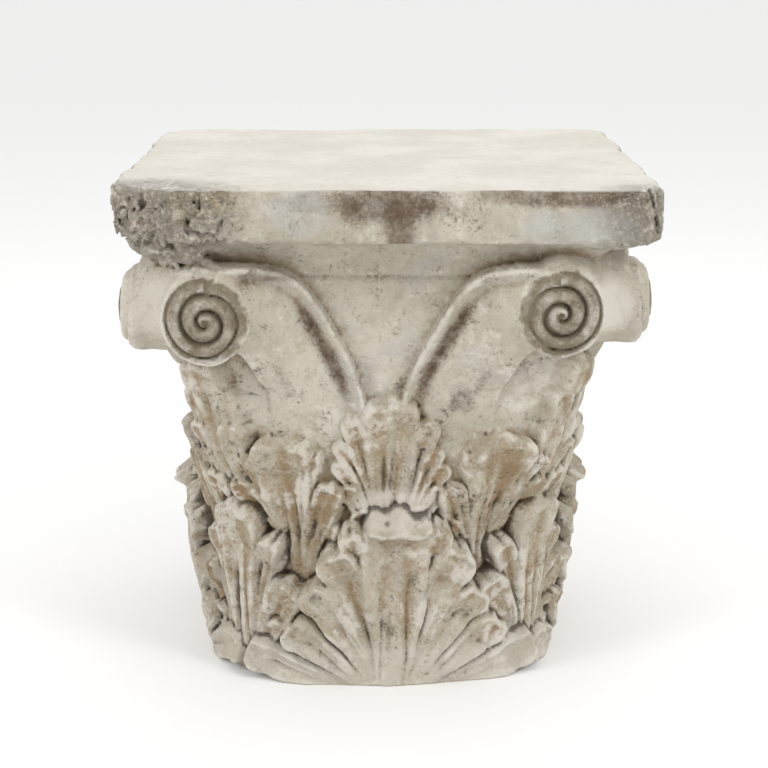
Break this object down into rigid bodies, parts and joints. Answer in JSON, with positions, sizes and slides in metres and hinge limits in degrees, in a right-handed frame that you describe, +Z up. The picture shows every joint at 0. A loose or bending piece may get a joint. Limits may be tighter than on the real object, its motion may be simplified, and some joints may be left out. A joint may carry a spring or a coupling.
{
  "type": "corinthian column pedestal",
  "caption": "Low pedestal in the form of a weathered Corinthian capital, with a square top slab, corner volutes and acanthus leaves.",
  "frame": {"origin": "middle of the flat underside, on the surface that the pedestal stands on", "axes": "+Z up, front face towards -Y, +X to the right as seen from the front"},
  "size_m": [0.5, 0.5, 0.5],
  "materials": {
    "stone": "matt weathered cast stone"
  },
  "bodies": {
    "root": {"capital": "stone"}
  },
  "joints": []
}
